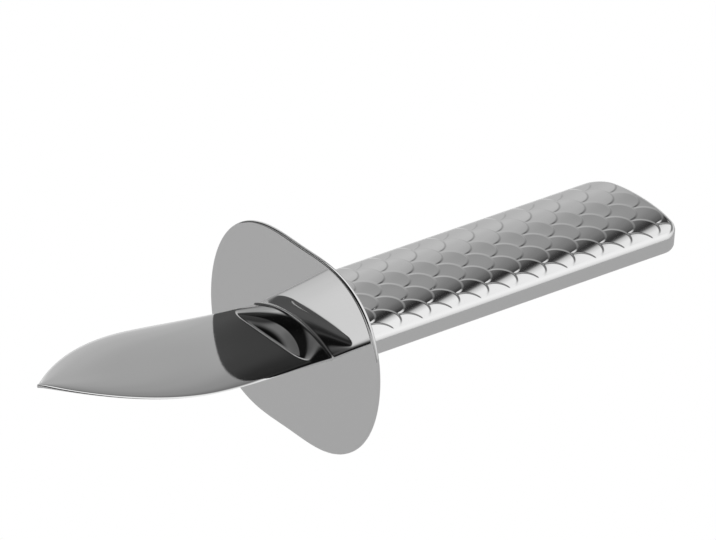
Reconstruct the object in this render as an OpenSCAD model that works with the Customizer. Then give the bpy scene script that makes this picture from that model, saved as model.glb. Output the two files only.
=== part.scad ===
// Oyster knife: a leaf blade with a tang, an oval hand guard and a flat hollow handle.
// The long axis is X, with the blade towards -X and the handle towards +X.
// The origin is on the handle's middle line, at the guard's front face, where the blade leaves it.

/* [Blade] */
// Length of the blade in front of the guard
blade_l = 68.5; // [50:0.5:90]
// Width of the blade at its widest
blade_w = 30.8; // [22:0.2:38]
// Thickness of the blade at the guard
blade_t = 1.7; // [1.4:0.1:3.4]
// Thickness of the blade at its tip
tip_t = 0.8; // [0.6:0.1:1.4]
// Upward tilt of the blade as it leaves the guard, in degrees
blade_tilt = 3.6; // [0:0.1:8]
// Radius of the blade's upward sweep
sweep_r = 560; // [300:10:2000]
// Height of the middle of the blade over the handle's middle, where it leaves the guard
blade_lift = 0.4; // [0:0.1:1.2]
// Length of the swelling at the root of the blade
swell_l = 7.2; // [3:0.1:12]
// Height of the swelling at the guard, over both sides
swell_h = 7.4; // [5:0.1:10]
// Height of the swelling at its side edges, over both sides
swell_edge_h = 2; // [1.2:0.1:3.4]
// Length of the tang behind the guard's front face
tang_l = 62; // [30:1:80]
// Width of the tang
tang_w = 12; // [6:0.5:16]

/* [Guard] */
// Width of the guard
guard_w = 57; // [46:0.2:70]
// Height of the guard
guard_h = 44.9; // [34:0.1:56]
// Thickness of the guard's plate
guard_t = 1.2; // [1:0.1:3]
// Depth of the guard's centre below the handle's middle
guard_drop = 1.1; // [0:0.1:2]

/* [Handle] */
// Length of the handle behind the guard
handle_l = 97; // [84:0.1:115]
// Width of the handle
handle_w = 28.4; // [22:0.2:34]
// Thickness of the handle at the middle of its faces
handle_t = 6.3; // [5.5:0.1:10]
// Rounding of the handle's long edges
shoulder_r = 1.1; // [1:0.1:1.6]
// Radius of the crowned faces, across the handle
crown_r = 135; // [100:1:400]
// Radius of the butt's two corners, seen from above
butt_corner_r = 4.5; // [2.5:0.1:9]
// Radius of the butt's slight outward curve
butt_r = 50; // [30:1:300]
// Wall of the pressed shells
shell_t = 0.8; // [0.5:0.1:0.9]
// Thickness of the plate that closes the handle's front end
plate_t = 1.2; // [0.8:0.1:3]

/* [Hidden] */
$fn = 96;
// Overrun of every cut past the face that it opens
over = 1;
// Steps along a computed outline
outline_n = 24;
guard_n = 96;
// Width at the guard as a share of the widest, and where along the blade it is widest
root_width_share = 0.88;
widest_share = 0.48;
// Share of the swelling's rise that is a straight ramp; the rest is steep at the foot and eases off
swell_ramp_share = 0.5;
// How full the guard's oval is between its axes, as a share of its mean radius
guard_fullness_share = 0.032;
handle_x0 = guard_t;
handle_x1 = guard_t + handle_l;
plate_x1 = guard_t + plate_t;

// Half width of the blade at a share s of its length: it swells to the widest place,
// then falls to the point along a parabola.
function swell_step(s) = s * s * (3 - 2 * s);
function toward_tip(s) = (s - widest_share) / (1 - widest_share);
function half_width(s) = blade_w / 2 * (s < widest_share
    ? root_width_share + (1 - root_width_share) * swell_step(s / widest_share)
    : 1 - toward_tip(s) * toward_tip(s));

// Height of the middle of the blade at a distance d in front of the guard
function middle_z(d) = blade_lift + d * tan(blade_tilt) + sweep_r - sqrt(sweep_r * sweep_r - d * d);
function thickness(d) = blade_t + (tip_t - blade_t) * d / blade_l;
function top_z(d) = middle_z(d) + thickness(d) / 2;
function bottom_z(d) = middle_z(d) - thickness(d) / 2;

// Rise of the swelling over the blade's face: steepest at its foot, and highest at the guard
function swell_climb(d) = 1 - d / swell_l;
function swell_share(c) = swell_ramp_share * c + (1 - swell_ramp_share) * (1 - pow(1 - c, 3));
function swell_rise(d) = (swell_h - blade_t) / 2 * swell_share(swell_climb(d));

// The blade's outline, seen from above
module blade_plan() {
    shares = [for (i = [0 : outline_n]) i / outline_n];
    far = [for (s = shares) [-s * blade_l, half_width(s)]];
    near = [for (i = [outline_n - 1 : -1 : 0]) [-shares[i] * blade_l, -half_width(shares[i])]];
    polygon(concat(far, near));
}

// Turns an outline drawn in X and Z, and gives it a width along Y
module across_y(width) {
    translate([0, width / 2, 0]) rotate([90, 0, 0]) linear_extrude(height = width) children();
}

// Turns an outline drawn in Y and Z, and gives it a length along X
module along_x(x0, x1) {
    translate([x0, 0, 0]) rotate([90, 0, 90]) linear_extrude(height = x1 - x0) children();
}

// The blade from the side, without its swelling
module blade_side() {
    steps = [for (i = [0 : outline_n]) i * blade_l / outline_n];
    upper = [for (d = steps) [-d, top_z(d)]];
    lower = [for (i = [outline_n : -1 : 0]) [-steps[i], bottom_z(steps[i])]];
    polygon(concat(upper, lower));
}

// The swelling from the side
module swell_side() {
    steps = [for (i = [0 : outline_n]) i * swell_l / outline_n];
    upper = [for (d = steps) [-d, top_z(d) + swell_rise(d)]];
    lower = [for (i = [outline_n : -1 : 0]) [-steps[i], bottom_z(steps[i]) - swell_rise(steps[i])]];
    polygon(concat(upper, lower));
}

// The swelling end on: a lens with blunt sides
module swell_section() {
    width = blade_w * root_width_share;
    drop = (swell_h - swell_edge_h) / 2;
    lens_r = (pow(width / 2, 2) + drop * drop) / (2 * drop);
    intersection() {
        translate([0, swell_h / 2 - lens_r]) circle(r = lens_r, $fn = 4 * $fn);
        translate([0, lens_r - swell_h / 2]) circle(r = lens_r, $fn = 4 * $fn);
        square([width, swell_h], center = true);
    }
}

// The space that the tang takes, from the guard's front face back
module tang_space() {
    translate([0, -tang_w / 2, -blade_t / 2]) cube([tang_l, tang_w, blade_t]);
}

module blade() {
    color("gainsboro") union() {
        intersection() {
            across_y(blade_w) blade_side();
            translate([0, 0, -blade_l]) linear_extrude(height = 2 * blade_l) blade_plan();
        }
        intersection() {
            across_y(blade_w) swell_side();
            along_x(-swell_l, 0) translate([0, blade_lift]) swell_section();
        }
        tang_space();
    }
}

// Radius of the guard's oval in a direction: it goes from half the width to half the height,
// and stands out a little in between
function guard_mean_r() = (guard_w + guard_h) / 4 / (1 - guard_fullness_share);
function guard_r(a) = guard_mean_r() * (1 - guard_fullness_share * cos(4 * a))
    + (guard_w - guard_h) / 4 * cos(2 * a);

// The guard's oval
module guard_outline() {
    turns = [for (i = [0 : guard_n - 1]) 360 * i / guard_n];
    translate([0, -guard_drop])
        polygon([for (a = turns) [guard_r(a) * cos(a), guard_r(a) * sin(a)]]);
}

module guard() {
    color("silver") difference() {
        along_x(0, guard_t) guard_outline();
        translate([-over, 0, 0]) tang_space();
        tang_space();
    }
}

// The handle end on, drawn in by the given inset: a crowned bar with round long edges
module handle_section(inset) {
    half_w = handle_w / 2 - inset;
    half_t = handle_t / 2 - inset;
    r = shoulder_r - inset;
    crown = crown_r - inset;
    // Height of the middle of the rounding, where it runs smoothly into the crown
    round_z = sqrt(pow(crown - r, 2) - pow(half_w - r, 2)) - (crown - half_t);
    intersection() {
        union() {
            square([2 * (half_w - r), 2 * half_t], center = true);
            square([2 * half_w, 2 * round_z], center = true);
            for (y = [r - half_w, half_w - r], z = [-round_z, round_z])
                translate([y, z]) circle(r = r);
        }
        translate([0, half_t - crown]) circle(r = crown, $fn = 8 * $fn);
        translate([0, crown - half_t]) circle(r = crown, $fn = 8 * $fn);
    }
}

// The handle from above, drawn in by the given inset: its butt has round corners
// and curves out slightly
module handle_plan(inset) {
    half_w = handle_w / 2 - inset;
    end_x = handle_x1 - inset;
    r = butt_corner_r - inset;
    curve = butt_r - inset;
    // How far the curved end falls back at the middle of a corner, and at the full width
    back = curve - sqrt(pow(curve - r, 2) - pow(half_w - r, 2));
    side_back = curve - sqrt(curve * curve - half_w * half_w);
    intersection() {
        union() {
            translate([handle_x0, -half_w]) square([end_x - back - handle_x0, 2 * half_w]);
            translate([handle_x0, r - half_w]) square([end_x - handle_x0, 2 * (half_w - r)]);
            for (y = [r - half_w, half_w - r])
                translate([end_x - back, y]) circle(r = r);
        }
        union() {
            translate([end_x - curve, 0]) circle(r = curve, $fn = 4 * $fn);
            translate([handle_x0, -half_w]) square([end_x - side_back - handle_x0, 2 * half_w]);
        }
        translate([handle_x0, -half_w]) square([end_x - handle_x0, 2 * half_w]);
    }
}

// The handle from the side, drawn in by the given inset: it rounds off the butt's edges
module handle_side(inset) {
    half_t = handle_t / 2 - inset;
    end_x = handle_x1 - inset;
    r = shoulder_r - inset;
    translate([handle_x0, -half_t]) square([end_x - r - handle_x0, 2 * half_t]);
    translate([handle_x0, r - half_t]) square([end_x - handle_x0, 2 * (half_t - r)]);
    for (z = [r - half_t, half_t - r])
        translate([end_x - r, z]) circle(r = r);
}

// The handle's solid form, drawn in by the given inset
module handle_form(inset) {
    intersection() {
        along_x(handle_x0, handle_x1) handle_section(inset);
        translate([0, 0, -handle_t / 2]) linear_extrude(height = handle_t) handle_plan(inset);
        across_y(handle_w) handle_side(inset);
    }
}

// One pressed half of the handle: side 1 is above the seam and side -1 is below it
module handle_shell(side) {
    difference() {
        handle_form(0);
        handle_form(shell_t);
        translate([handle_x0 - over, -handle_w, side > 0 ? -handle_t : 0])
            cube([handle_l + 2 * over, 2 * handle_w, handle_t]);
    }
}

module handle_top_shell() {
    color("silver") handle_shell(1);
}

module handle_bottom_shell() {
    color("darkgray") handle_shell(-1);
}

// The plate that closes the front end, between the shells, with a slot for the tang
module front_plate() {
    color("gray") difference() {
        along_x(handle_x0, plate_x1) handle_section(shell_t);
        tang_space();
    }
}

// The cement that fills the handle and holds the tang
module handle_filler() {
    color("dimgray") difference() {
        handle_form(shell_t);
        translate([0, -handle_w / 2, -handle_t / 2]) cube([plate_x1, handle_w, handle_t]);
        tang_space();
    }
}

blade();
guard();
front_plate();
handle_top_shell();
handle_bottom_shell();
handle_filler();
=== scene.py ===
import math

import bpy
import numpy as np
from mathutils import Matrix, Vector


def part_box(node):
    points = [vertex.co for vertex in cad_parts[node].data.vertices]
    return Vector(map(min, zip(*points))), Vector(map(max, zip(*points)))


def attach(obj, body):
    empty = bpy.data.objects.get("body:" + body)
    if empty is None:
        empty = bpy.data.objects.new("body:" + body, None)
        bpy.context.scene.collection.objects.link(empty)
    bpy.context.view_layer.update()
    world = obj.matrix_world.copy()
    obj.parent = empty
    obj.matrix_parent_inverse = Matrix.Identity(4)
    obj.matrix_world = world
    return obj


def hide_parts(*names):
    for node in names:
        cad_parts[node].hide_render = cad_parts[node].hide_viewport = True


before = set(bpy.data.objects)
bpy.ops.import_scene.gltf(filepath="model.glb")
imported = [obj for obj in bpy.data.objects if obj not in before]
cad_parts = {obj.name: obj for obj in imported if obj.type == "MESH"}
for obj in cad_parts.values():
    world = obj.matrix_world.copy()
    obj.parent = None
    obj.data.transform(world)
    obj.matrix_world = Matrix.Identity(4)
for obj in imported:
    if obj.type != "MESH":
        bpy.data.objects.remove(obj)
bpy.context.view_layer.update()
scene = bpy.context.scene
mm = 0.001
along_x = (0, math.pi / 2, 0)
steel_tone = 0.88


# Blade
# A short leaf of polished stainless steel, forged in one with its tang. It is ground to a thin
# edge all round, sweeps up a little towards the point, and swells where the guard is brazed on.
blade_low, blade_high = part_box("blade")
guard_low, guard_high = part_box("guard")
blade_l = -blade_low[0]
blade_w = blade_high[1] - blade_low[1]
blade_t = 1.7 * mm
tip_t = 0.8 * mm
blade_tilt = math.radians(3.6)
sweep_r = 560 * mm
root_width_share = 0.88
widest_share = 0.48
tip_half_w = 0.2 * mm
blade_lift = 0.4 * mm
swell_l = 7.2 * mm
swell_corner_share = 0.36
swell_ramp_share = 0.5
swell_h = 7.4 * mm
swell_edge_h = 0.5 * mm
braze_r = 0.6 * mm
swell_foot_power = 8
swell_ease_power = 3
edge_t = 0.24 * mm
root_edge_t = 0.9 * mm
root_edge_l = 26 * mm
root_roll_w = 0.6 * mm
tip_roll_w = 0.45 * mm
roll_fade_rate = 2.2
roll_most_share = 0.3
roll_slope = math.tan(math.radians(13))
arch_power = 3.5
tang_l = blade_high[0]
tang_w = 12 * mm
blade_rings = 160
root_rings_share = 0.4
root_share = 0.11
ring_power = 1.5
blade_sides = 120
side_edge_power = 40
blade_smooth_angle = math.radians(40)


def start_clean():
    if bpy.context.object and bpy.context.object.mode != "OBJECT":
        bpy.ops.object.mode_set(mode="OBJECT")
    bpy.ops.object.select_all(action="DESELECT")


def name_piece(name):
    piece = bpy.context.object
    piece.name = name
    piece.data.name = name
    return piece


def read_points(piece):
    points = np.empty(len(piece.data.vertices) * 3)
    piece.data.vertices.foreach_get("co", points)
    return points.reshape(-1, 3)


def write_points(piece, points):
    piece.data.vertices.foreach_set("co", np.ascontiguousarray(points, dtype=float).ravel())
    piece.data.update()


def paint(piece, material):
    piece.data.materials.clear()
    piece.data.materials.append(material)


def face_outwards():
    bpy.ops.object.mode_set(mode="EDIT")
    bpy.ops.mesh.select_all(action="SELECT")
    bpy.ops.mesh.normals_make_consistent(inside=False)
    bpy.ops.object.mode_set(mode="OBJECT")


def smooth_step(share):
    share = np.clip(share, 0, 1)
    return share * share * (3 - 2 * share)


def blade_half_width(share):
    toward_tip = np.clip((share - widest_share) / (1 - widest_share), 0, 1)
    root_part = root_width_share + (1 - root_width_share) * smooth_step(share / widest_share)
    return blade_w / 2 * np.where(share < widest_share, root_part, 1 - toward_tip ** 2)


def blade_middle_z(ahead):
    return blade_lift + ahead * math.tan(blade_tilt) + sweep_r - np.sqrt(sweep_r ** 2 - ahead ** 2)


def blade_half_thickness(ahead, across, half_w):
    """Each face is a flat arch that rolls off to the edge, which is blunter near the guard.

    The swelling is a lens over both faces, which climbs to the guard and ends in a small fillet
    of braze. across runs from -1 to 1 over the blade's width.
    """
    middle = (blade_t + (tip_t - blade_t) * ahead / blade_l) / 2
    widening = 1 - smooth_step(roll_fade_rate * ahead / blade_l)
    roll = tip_roll_w + (root_roll_w - tip_roll_w) * widening
    roll = np.minimum(roll, roll_most_share * half_w)
    from_edge = np.minimum((1 - np.abs(across)) * half_w, roll)
    blunt = (edge_t + (root_edge_t - edge_t) * (1 - smooth_step(ahead / root_edge_l))) / 2
    edge = blunt + roll_slope * from_edge * (1 - from_edge / (2 * roll))
    arch = np.maximum(middle - blunt - roll_slope * roll / 2, 0)
    leaf = edge + arch * (1 - np.abs(across) ** arch_power)
    lens = swell_edge_h / 2 + (swell_h - swell_edge_h) / 2 * (1 - across ** 2)
    foot = swell_l * (1 - swell_corner_share * across ** swell_foot_power)
    climb = np.clip(1 - ahead / foot, 0, 1)
    eased = 1 - (1 - climb) ** swell_ease_power
    rise = swell_ramp_share * climb + (1 - swell_ramp_share) * eased
    braze = braze_r - np.sqrt(braze_r ** 2 - np.maximum(braze_r - ahead, 0) ** 2)
    return leaf + np.maximum(lens - leaf, 0) * rise + braze


start_clean()
bpy.ops.mesh.primitive_cylinder_add(
    vertices=blade_sides, radius=1, depth=1, end_fill_type="NGON", rotation=along_x
)
blade = name_piece("blade_dressed")
bpy.ops.object.transform_apply(location=True, rotation=True, scale=True)
bpy.ops.object.mode_set(mode="EDIT")
bpy.ops.mesh.select_mode(type="EDGE")
bpy.ops.mesh.select_all(action="DESELECT")
bpy.ops.object.mode_set(mode="OBJECT")
# Only the edges that run from end to end are cut into rings.
for edge in blade.data.edges:
    ends = [blade.data.vertices[i].co for i in edge.vertices]
    edge.select = abs(ends[0].x - ends[1].x) > 0.5
bpy.ops.object.mode_set(mode="EDIT")
bpy.ops.mesh.subdivide(number_cuts=blade_rings)
bpy.ops.object.mode_set(mode="OBJECT")
points = read_points(blade)
ring = np.clip(0.5 - points[:, 0], 0, 1)
past_root = (ring - root_rings_share) / (1 - root_rings_share)
share = np.where(
    ring < root_rings_share,
    (ring / root_rings_share) ** ring_power * root_share,
    root_share + past_root * (1 - root_share),
)
turn = np.arctan2(points[:, 2], points[:, 1])
across = np.cos(turn)
ahead = share * blade_l
edge_round = np.sqrt(np.clip(1 - np.abs(across) ** side_edge_power, 0, 1))
half_w = np.maximum(blade_half_width(share), tip_half_w)
half_t = blade_half_thickness(ahead, across, half_w) * edge_round
points[:, 0] = -ahead
points[:, 1] = across * half_w
# Places on the two side edges belong to neither face.
face_side = np.sign(np.round(np.sin(turn), 6))
points[:, 2] = blade_middle_z(ahead) + face_side * half_t
write_points(blade, points)
bpy.ops.object.select_all(action="DESELECT")
bpy.ops.mesh.primitive_cube_add(
    size=1, location=(tang_l / 2, 0, 0), scale=(tang_l, tang_w, blade_t)
)
bpy.ops.object.transform_apply(location=True, rotation=True, scale=True)
blade.select_set(True)
bpy.context.view_layer.objects.active = blade
bpy.ops.object.join()
bpy.ops.object.shade_smooth_by_angle(angle=blade_smooth_angle)


def add_polish_group():
    """Faint haze and wiping marks of hand-polished steel, as a roughness and a slight bump."""
    group = bpy.data.node_groups.new("polish_marks", "ShaderNodeTree")
    face = group.interface
    face.new_socket("Coordinates", in_out="INPUT", socket_type="NodeSocketVector")
    for label, value in (("Roughness", 0.05), ("Haze", 0.03), ("Mark Size", 90.0)):
        face.new_socket(label, in_out="INPUT", socket_type="NodeSocketFloat").default_value = value
    face.new_socket("Roughness", in_out="OUTPUT", socket_type="NodeSocketFloat")
    face.new_socket("Height", in_out="OUTPUT", socket_type="NodeSocketFloat")
    nodes, links = group.nodes, group.links
    inside = nodes.new("NodeGroupInput")
    outside = nodes.new("NodeGroupOutput")
    haze = nodes.new("ShaderNodeTexNoise")
    haze.inputs["Detail"].default_value = 3
    links.new(inside.outputs["Coordinates"], haze.inputs["Vector"])
    links.new(inside.outputs["Mark Size"], haze.inputs["Scale"])
    spread = nodes.new("ShaderNodeMath")
    spread.operation = "MULTIPLY_ADD"
    links.new(haze.outputs["Fac"], spread.inputs[0])
    links.new(inside.outputs["Haze"], spread.inputs[1])
    links.new(inside.outputs["Roughness"], spread.inputs[2])
    links.new(spread.outputs["Value"], outside.inputs["Roughness"])
    wipes = nodes.new("ShaderNodeTexNoise")
    wipes.inputs["Scale"].default_value = 700
    wipes.inputs["Detail"].default_value = 2
    stretch = nodes.new("ShaderNodeMapping")
    stretch.inputs["Scale"].default_value = (0.06, 1.0, 1.0)
    links.new(inside.outputs["Coordinates"], stretch.inputs["Vector"])
    links.new(stretch.outputs["Vector"], wipes.inputs["Vector"])
    links.new(wipes.outputs["Fac"], outside.inputs["Height"])
    return group


polish_group = add_polish_group()


def make_steel(name, tone, roughness, haze, mark_size):
    """Mirror-polished stainless steel."""
    material = bpy.data.materials.new(name)
    material.use_nodes = True
    nodes, links = material.node_tree.nodes, material.node_tree.links
    shader = nodes["Principled BSDF"]
    shader.inputs["Base Color"].default_value = (tone, tone, tone, 1)
    shader.inputs["Metallic"].default_value = 1
    place = nodes.new("ShaderNodeTexCoord")
    marks = nodes.new("ShaderNodeGroup")
    marks.node_tree = polish_group
    marks.inputs["Roughness"].default_value = roughness
    marks.inputs["Haze"].default_value = haze
    marks.inputs["Mark Size"].default_value = mark_size
    links.new(place.outputs["Object"], marks.inputs["Coordinates"])
    links.new(marks.outputs["Roughness"], shader.inputs["Roughness"])
    bump = nodes.new("ShaderNodeBump")
    bump.inputs["Strength"].default_value = 0.02
    bump.inputs["Distance"].default_value = 0.02 * mm
    links.new(marks.outputs["Height"], bump.inputs["Height"])
    links.new(bump.outputs["Normal"], shader.inputs["Normal"])
    return material


paint(blade, make_steel(
    "polished_blade_steel", tone=steel_tone, roughness=0.03, haze=0.02, mark_size=70
))
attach(blade, "root")
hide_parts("blade")


# Guard
# A thin oval plate that keeps the hand off the shell. It is blanked from stainless sheet, its
# rim is rounded, and it is slid over the tang and brazed to the blade's swollen root.
guard_w = 57 * mm
guard_h = 44.88 * mm
guard_t = guard_high[0] - guard_low[0]
guard_z = (guard_high[2] + guard_low[2]) / 2
guard_fullness_share = 0.032
guard_points = 240
rim_round = 0.5 * mm
rim_inset = 0.12 * mm
rim_steps = 8
rim_angle = math.radians(60)
rim_strip_corners = 8
guard_smooth_angle = math.radians(50)

start_clean()
bpy.ops.mesh.primitive_circle_add(
    vertices=guard_points, radius=1, fill_type="NGON", rotation=along_x
)
guard = name_piece("guard_dressed")
bpy.ops.object.transform_apply(location=True, rotation=True, scale=True)
points = read_points(guard)
turn = np.arctan2(points[:, 2], points[:, 1])
mean_r = (guard_w + guard_h) / 4 / (1 - guard_fullness_share)
fullness = 1 - guard_fullness_share * np.cos(4 * turn)
radius = mean_r * fullness + (guard_w - guard_h) / 4 * np.cos(2 * turn)
points[:, 0] = 0
points[:, 1] = radius * np.cos(turn)
points[:, 2] = guard_z + radius * np.sin(turn)
write_points(guard, points)
bpy.ops.object.mode_set(mode="EDIT")
bpy.ops.mesh.select_all(action="SELECT")
bpy.ops.mesh.extrude_region_move(TRANSFORM_OT_translate={"value": (guard_t, 0, 0)})
face_outwards()
rim = guard.modifiers.new("rim", "BEVEL")
rim.width = rim_round
rim.segments = rim_steps
rim.limit_method = "ANGLE"
rim.angle_limit = rim_angle
bpy.ops.object.modifier_apply(modifier=rim.name)
bpy.ops.object.mode_set(mode="EDIT")
bpy.ops.mesh.select_all(action="DESELECT")
bpy.ops.object.mode_set(mode="OBJECT")
# The rim's strips have four corners each, and the plate's two faces have many.
for face in guard.data.polygons:
    face.select = len(face.vertices) > rim_strip_corners
bpy.ops.object.mode_set(mode="EDIT")
bpy.ops.mesh.select_mode(type="FACE")
bpy.ops.mesh.inset(thickness=rim_inset, use_individual=True)
bpy.ops.object.mode_set(mode="OBJECT")
bpy.ops.object.shade_smooth_by_angle(angle=guard_smooth_angle)
paint(guard, make_steel(
    "polished_guard_steel", tone=steel_tone, roughness=0.025, haze=0.02, mark_size=55
))
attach(guard, "root")
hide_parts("guard")


# Handle
# Two shells pressed from stainless sheet with rows of overlapping fish scales on their faces,
# brazed edge to edge and polished, so that the plain side band shows no seam.
shell_low, shell_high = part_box("handle_top_shell")
handle_x0 = shell_low[0]
handle_x1 = shell_high[0]
handle_w = shell_high[1] - shell_low[1]
handle_t = 2 * shell_high[2]
shoulder_r = 1.1 * mm
crown_fall = 0.7 * mm
crown_power = 3
butt_corner_r = 4.5 * mm
butt_r = 50 * mm
butt_run = 3 * butt_corner_r
shell_t = 0.8 * mm
scale_r = 3.93 * mm
scale_row = 4.0 * mm
scale_x = 44.9 * mm
scale_y = -1.55 * mm
plain_edge = 0.4 * mm
scale_rise = 0.036 * mm
scale_dish = 0.022 * mm
scale_edge_w = 0.42 * mm
spare_rows = 3
long_cuts = 560
wide_cuts = 164
roll_cuts = 10
handle_smooth_angle = math.radians(45)


def scale_relief(x, y):
    """How far each place lies below the highest crest of the scales.

    Each scale is a shallow round dish that rises towards the butt. It lies over the scales
    behind it and ends in a soft step, so the lowest row is laid first.
    """
    height = np.zeros(x.shape)
    first = int(np.floor((x.min() - scale_x) / scale_row)) - spare_rows
    last = int(np.ceil((x.max() - scale_x) / scale_row)) + spare_rows
    for row in range(last, first - 1, -1):
        middle_x = scale_x + row * scale_row - scale_r
        shift = scale_r if row % 2 else 0
        lane = np.round((y - scale_y - shift) / (2 * scale_r))
        middle_y = scale_y + shift + lane * 2 * scale_r
        out = np.hypot(x - middle_x, y - middle_y)
        dish = scale_rise * (x - middle_x) / scale_r + scale_dish * (out / scale_r) ** 2
        edge = smooth_step((out - scale_r) / scale_edge_w + 1)
        height = np.where(out < scale_r, dish + (height - dish) * edge, height)
    return scale_rise + scale_dish - height


def spread(cuts, half, roll):
    """Places of grid lines from one edge to the other, close together over the round edges."""
    inner = np.linspace(-(half - roll), half - roll, cuts - 2 * roll_cuts + 1)
    turns = np.linspace(0, math.pi / 2, roll_cuts + 1)[1:]
    bend = half - roll + roll * np.sin(turns)
    return np.concatenate([-bend[::-1], inner, bend])


start_clean()
bpy.ops.mesh.primitive_grid_add(x_subdivisions=long_cuts, y_subdivisions=wide_cuts, size=2)
top_shell = name_piece("handle_top_dressed")
points = read_points(top_shell)
column = np.round((points[:, 0] + 1) / 2 * long_cuts).astype(int)
line = np.round((points[:, 1] + 1) / 2 * wide_cuts).astype(int)
half_w = handle_w / 2
across_lines = spread(wide_cuts, half_w, shoulder_r)
long_inner = np.linspace(handle_x0, handle_x1 - shoulder_r, long_cuts - roll_cuts + 1)
long_bend = np.linspace(0, math.pi / 2, roll_cuts + 1)[1:]
long_roll = handle_x1 - shoulder_r + shoulder_r * np.sin(long_bend)
long_lines = np.concatenate([long_inner, long_roll])
x = long_lines[column]
y = across_lines[line]
# The square corner of the grid is drawn round: a place in the corner's square moves on to a
# quarter disc.
corner_x = np.clip((x - (handle_x1 - butt_corner_r)) / butt_corner_r, 0, 1)
corner_y = np.clip((np.abs(y) - (half_w - butt_corner_r)) / butt_corner_r, 0, 1)
in_corner = (corner_x > 0) & (corner_y > 0)
round_x = handle_x1 - butt_corner_r + butt_corner_r * corner_x * np.sqrt(1 - corner_y ** 2 / 2)
round_y = half_w - butt_corner_r + butt_corner_r * corner_y * np.sqrt(1 - corner_x ** 2 / 2)
x = np.where(in_corner, round_x, x)
y = np.where(in_corner, np.sign(y) * round_y, y)
# The butt curves out slightly, so the last stretch is drawn back towards its two corners.
end_back = butt_r - np.sqrt(butt_r ** 2 - y ** 2)
end_share = smooth_step((x - (handle_x1 - butt_run)) / butt_run)
flat_x = x
x = x - end_back * end_share
side_in = half_w - np.abs(y)
end_in = handle_x1 - flat_x
deep_x = np.maximum(butt_corner_r - end_in, 0)
deep_y = np.maximum(butt_corner_r - side_in, 0)
inside = butt_corner_r - np.hypot(deep_x, deep_y)
roll = np.clip(shoulder_r - inside, 0, shoulder_r)
roll_drop = shoulder_r - np.sqrt(shoulder_r ** 2 - roll ** 2)
# The crown levels out over the round long edges, so that one runs into the other.
past_crown = np.clip(np.abs(y) - (half_w - shoulder_r), 0, shoulder_r)
crown_y = np.abs(y) - past_crown ** 2 / (2 * shoulder_r)
crown_drop = crown_fall * (crown_y / (half_w - shoulder_r)) ** crown_power
fade = smooth_step((inside - plain_edge) / shoulder_r)
relief = scale_relief(x, y)
z = handle_t / 2 - crown_drop - roll_drop - relief.mean() - (relief - relief.mean()) * fade
write_points(top_shell, np.stack([x, y, z], axis=1))


def move_selected(piece, place):
    bpy.ops.object.mode_set(mode="OBJECT")
    for vertex in piece.data.vertices:
        if vertex.select:
            vertex.co = place(vertex.co)
    bpy.ops.object.mode_set(mode="EDIT")


at_mouth = 0.01 * mm


def is_rim(a, b):
    """Whether an open edge is on the face's sides or butt, and not at the handle's mouth."""
    return not (a.x < handle_x0 + at_mouth and b.x < handle_x0 + at_mouth)


# The face's open edge is led down to the seam, in by the wall and up to the inside's ceiling.
bpy.ops.object.mode_set(mode="EDIT")
bpy.ops.mesh.select_all(action="DESELECT")
bpy.ops.mesh.select_mode(type="EDGE")
bpy.ops.mesh.select_non_manifold()
bpy.ops.object.mode_set(mode="OBJECT")
for edge in top_shell.data.edges:
    ends = [top_shell.data.vertices[i].co for i in edge.vertices]
    edge.select = edge.select and is_rim(*ends)
for vertex in top_shell.data.vertices:
    vertex.select = False
for edge in top_shell.data.edges:
    if edge.select:
        for i in edge.vertices:
            top_shell.data.vertices[i].select = True
bpy.ops.object.mode_set(mode="EDIT")
bpy.ops.mesh.extrude_edges_move()
move_selected(top_shell, lambda p: Vector((p.x, p.y, 0)))


def draw_in(p):
    """A seam point moved in by the wall, square to the outline."""
    beyond_x = max(p.x - (handle_x1 - butt_corner_r), 0)
    beyond_y = max(abs(p.y) - (half_w - butt_corner_r), 0)
    out = math.hypot(beyond_x, beyond_y)
    if out == 0:
        return p.copy()
    step = shell_t / out
    return Vector((p.x - beyond_x * step, p.y - math.copysign(beyond_y * step, p.y), p.z))


bpy.ops.mesh.extrude_edges_move()
move_selected(top_shell, draw_in)
bpy.ops.mesh.extrude_edges_move()
ceiling_z = handle_t / 2 - shell_t - 2 * (scale_rise + scale_dish)
move_selected(top_shell, lambda p: Vector((p.x, p.y, ceiling_z)))
bpy.ops.mesh.edge_face_add()
bpy.ops.mesh.select_all(action="DESELECT")
bpy.ops.mesh.select_non_manifold()
bpy.ops.mesh.edge_face_add()
face_outwards()
bpy.ops.object.shade_smooth_by_angle(angle=handle_smooth_angle)
paint(top_shell, make_steel(
    "polished_handle_steel", tone=steel_tone, roughness=0.03, haze=0.02, mark_size=120
))

start_clean()
top_shell.select_set(True)
bpy.context.view_layer.objects.active = top_shell
bpy.ops.object.duplicate()
bottom_shell = name_piece("handle_bottom_dressed")
bottom_shell.data.transform(Matrix.Scale(-1, 4, Vector((0, 0, 1))))
face_outwards()
# The upper half is declared after it is copied, so that the copy stands for the lower half only.
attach(top_shell, "root")
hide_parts("handle_top_shell")
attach(bottom_shell, "root")
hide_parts("handle_bottom_shell")


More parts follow.
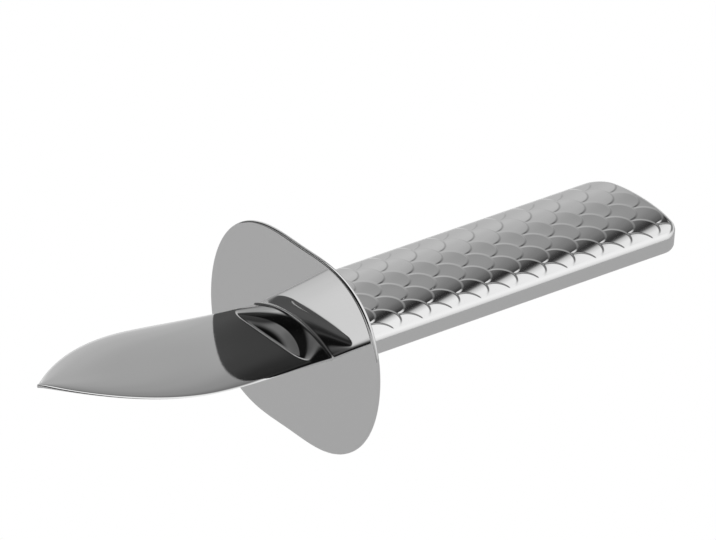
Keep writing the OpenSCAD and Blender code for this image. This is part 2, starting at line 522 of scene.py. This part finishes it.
# Inside of the handle
# A small steel plate closes the mouth behind the guard, and cement fills the rest round the
# tang. Neither shows once the knife is together.
paint(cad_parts["front_plate"], make_steel(
    "ground_plate_steel", tone=0.6, roughness=0.3, haze=0.1, mark_size=300
))
cement = bpy.data.materials.new("handle_cement")
cement.use_nodes = True
nodes, links = cement.node_tree.nodes, cement.node_tree.links
cement_shader = nodes["Principled BSDF"]
cement_shader.inputs["Roughness"].default_value = 0.85
cement_place = nodes.new("ShaderNodeTexCoord")
cement_grains = nodes.new("ShaderNodeTexNoise")
cement_grains.inputs["Scale"].default_value = 900
cement_tones = nodes.new("ShaderNodeValToRGB")
cement_tones.color_ramp.elements[0].color = (0.07, 0.066, 0.06, 1)
cement_tones.color_ramp.elements[1].color = (0.14, 0.13, 0.12, 1)
links.new(cement_place.outputs["Object"], cement_grains.inputs["Vector"])
links.new(cement_grains.outputs["Fac"], cement_tones.inputs["Fac"])
links.new(cement_tones.outputs["Color"], cement_shader.inputs["Base Color"])
paint(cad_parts["handle_filler"], cement)


# Floor
# A wide pale table well below the knife, painted a little lighter beyond it. The camera sees it
# as plain white, and the steel mirrors it as a light grey with a faint painted glow: the table
# gives off light of its own, though it is no lamp.
floor_drop = 0.16
floor_size = 6.0
# The paint goes from one grey to the other over this distance to each side of the knife
floor_fade = 0.35
near_grey = 0.8
far_grey = 0.88
painted_table_glow = 0.2
start_clean()
bpy.ops.mesh.primitive_plane_add(size=floor_size, location=(0, 0, -floor_drop))
floor = name_piece("floor")
floor_paint = bpy.data.materials.new("pale_floor")
floor_paint.use_nodes = True
nodes, links = floor_paint.node_tree.nodes, floor_paint.node_tree.links
matt = nodes["Principled BSDF"]
matt.inputs["Roughness"].default_value = 0.9
matt.inputs["Emission Color"].default_value = (1, 1, 1, 1)
# The table's emission is a painted glow, light that it gives off though it is no lamp.
matt.inputs["Emission Strength"].default_value = painted_table_glow
spot = nodes.new("ShaderNodeTexCoord")
spot_parts = nodes.new("ShaderNodeSeparateXYZ")
beyond = nodes.new("ShaderNodeMath")
beyond.operation = "SUBTRACT"
paint = nodes.new("ShaderNodeMapRange")
paint.inputs["From Min"].default_value = -floor_fade * math.sqrt(2)
paint.inputs["From Max"].default_value = floor_fade * math.sqrt(2)
paint.inputs["To Min"].default_value = near_grey
paint.inputs["To Max"].default_value = far_grey
links.new(spot.outputs["Object"], spot_parts.inputs["Vector"])
links.new(spot_parts.outputs["Y"], beyond.inputs[0])
links.new(spot_parts.outputs["X"], beyond.inputs[1])
links.new(beyond.outputs["Value"], paint.inputs["Value"])
links.new(paint.outputs["Result"], matt.inputs["Base Color"])
seen = nodes.new("ShaderNodeLightPath")
plain_white = nodes.new("ShaderNodeEmission")
mix = nodes.new("ShaderNodeMixShader")
links.new(seen.outputs["Is Camera Ray"], mix.inputs["Fac"])
links.new(matt.outputs["BSDF"], mix.inputs[1])
links.new(plain_white.outputs["Emission"], mix.inputs[2])
links.new(mix.outputs["Shader"], nodes["Material Output"].inputs["Surface"])
floor.data.materials.append(floor_paint)


# Light
# A studio tent whose grey walls are what the polished steel mirrors: a lit wall behind to the
# right with a dark rim at 37 degrees and white over it, dark cards behind in the middle and on
# the left, and in front a white wall to the right and a dark one to the left.
world = bpy.data.worlds.new("studio")
scene.world = world
world.use_nodes = True
nodes, links = world.node_tree.nodes, world.node_tree.links
sky = nodes["Background"]
way = nodes.new("ShaderNodeTexCoord")
split = nodes.new("ShaderNodeSeparateXYZ")
links.new(way.outputs["Generated"], split.inputs["Vector"])


def screen_to_light(shown):
    """The standard tone curve of a screen, turned round."""
    return ((shown + 0.055) / 1.055) ** 2.4


def wall(stops):
    """Grey by height of view.

    Each stop is a rise in degrees and the grey, as a screen shows it, that steel mirrors there.
    """
    ramp = nodes.new("ShaderNodeValToRGB")
    share = nodes.new("ShaderNodeMath")
    share.operation = "MULTIPLY_ADD"
    share.inputs[1].default_value = 0.5
    share.inputs[2].default_value = 0.5
    links.new(split.outputs["Z"], share.inputs[0])
    links.new(share.outputs["Value"], ramp.inputs["Fac"])
    ramp.color_ramp.interpolation = "EASE"
    band = ramp.color_ramp.elements
    while len(band) > 1:
        band.remove(band[-1])
    for index, (rise, shown) in enumerate(stops):
        place = 0.5 + 0.5 * math.sin(math.radians(rise))
        stop = band[0] if index == 0 else band.new(place)
        stop.position = place
        grey = min(screen_to_light(shown) / steel_tone, 1)
        stop.color = (grey, grey, grey, 1)
    return ramp.outputs["Color"]


def blend(axis, start, end, first, second):
    """From one wall to the next, as the view turns along an axis."""
    turn = nodes.new("ShaderNodeMapRange")
    turn.interpolation_type = "SMOOTHSTEP"
    turn.inputs["From Min"].default_value = start
    turn.inputs["From Max"].default_value = end
    links.new(split.outputs[axis], turn.inputs["Value"])
    join = nodes.new("ShaderNodeMix")
    join.data_type = "RGBA"
    links.new(turn.outputs["Result"], join.inputs["Factor"])
    links.new(first, join.inputs["A"])
    links.new(second, join.inputs["B"])
    return join.outputs["Result"]


back_right = wall((
    (-5, 0.92), (2, 0.88), (7, 0.8), (13, 0.72), (19, 0.71), (24, 0.74), (27, 0.7), (31, 0.57),
    (33, 0.47), (34.5, 0.37), (35.8, 0.2), (36.8, 0.06), (37.6, 0.35), (38.4, 0.8), (40, 0.92),
    (50, 0.93),
))
far_right = wall((
    (-5, 0.9), (4, 0.86), (10, 0.78), (14, 0.7), (17, 0.65), (20, 0.6), (23, 0.56), (27, 0.51),
    (32, 0.46), (36, 0.42), (39, 0.52), (42, 0.75), (45, 0.9), (55, 0.93),
))
back_middle = wall((
    (-5, 0.4), (20, 0.3), (37, 0.22), (42, 0.2), (47, 0.42), (51, 0.42), (56, 0.36), (61, 0.33),
    (70, 0.3), (78, 0.2), (86, 0.08),
))
back_dark = wall(((-5, 0.3), (25, 0.2), (35, 0.06), (50, 0.04), (60, 0.08), (86, 0.08)))
back_left = wall((
    (-5, 0.68), (4, 0.6), (13, 0.61), (19, 0.65), (24, 0.75), (28, 0.78), (32, 0.81), (36, 0.85),
    (41, 0.86), (45, 0.75), (49, 0.55), (53, 0.45), (58, 0.3), (70, 0.2), (86, 0.08),
))
far_left = wall((
    (-5, 0.3), (10, 0.32), (20, 0.31), (25, 0.25), (29, 0.18), (34, 0.15), (40, 0.22), (43, 0.1),
    (47, 0.06), (60, 0.05), (86, 0.08),
))
front_right = wall((
    (-5, 0.79), (5, 0.81), (15, 0.85), (25, 0.88), (35, 0.9), (45, 0.92), (55, 0.94),
))
front_left = wall((
    (-5, 0.5), (8, 0.62), (20, 0.7), (26, 0.6), (32, 0.3), (38, 0.12), (50, 0.06), (86, 0.08),
))
# Behind the knife, the walls follow each other from right to left.
back_wall = blend("X", 0.54, 0.7, back_right, far_right)
back_wall = blend("X", 0.42, 0.32, back_wall, back_middle)
back_wall = blend("X", 0, -0.2, back_wall, back_dark)
back_wall = blend("X", -0.4, -0.46, back_wall, back_left)
back_wall = blend("X", -0.52, -0.57, back_wall, far_left)
front_wall = blend("X", 0.5, 0.3, front_right, front_left)
links.new(blend("Y", 0.15, -0.15, back_wall, front_wall), sky.inputs["Color"])
tent_seen = nodes.new("ShaderNodeLightPath")
clear_sky = nodes.new("ShaderNodeBackground")
clear_sky.inputs["Color"].default_value = (1, 1, 1, 1)
sky_mix = nodes.new("ShaderNodeMixShader")
links.new(tent_seen.outputs["Is Camera Ray"], sky_mix.inputs["Fac"])
links.new(sky.outputs["Background"], sky_mix.inputs[1])
links.new(clear_sky.outputs["Background"], sky_mix.inputs[2])
links.new(sky_mix.outputs["Shader"], nodes["World Output"].inputs["Surface"])


# Camera
# A long lens from over two metres away, rolled a little, as the photograph was taken.
camera_turn = math.radians(-40.6)
camera_rise = math.radians(29.7)
camera_roll = math.radians(4.0)
camera_far = 2.196
aim_right = 13.8 * mm
aim_up = 13.5 * mm
back = Vector((
    math.sin(camera_turn) * math.cos(camera_rise),
    -math.cos(camera_turn) * math.cos(camera_rise),
    math.sin(camera_rise),
))
level = Vector((math.cos(camera_turn), math.sin(camera_turn), 0))
upright = back.cross(level)
right = math.cos(camera_roll) * level + math.sin(camera_roll) * upright
up = -math.sin(camera_roll) * level + math.cos(camera_roll) * upright
start_clean()
bpy.ops.object.camera_add()
camera = bpy.context.object
camera.data.lens = 520
camera.data.sensor_width = 36
camera.data.clip_end = 50
camera_place = back * camera_far + right * aim_right + up * aim_up
camera.matrix_world = Matrix.Translation(camera_place) @ Matrix((
    (right.x, up.x, back.x, 0),
    (right.y, up.y, back.y, 0),
    (right.z, up.z, back.z, 0),
    (0, 0, 0, 1),
))
scene.camera = camera
scene.view_settings.view_transform = "Standard"
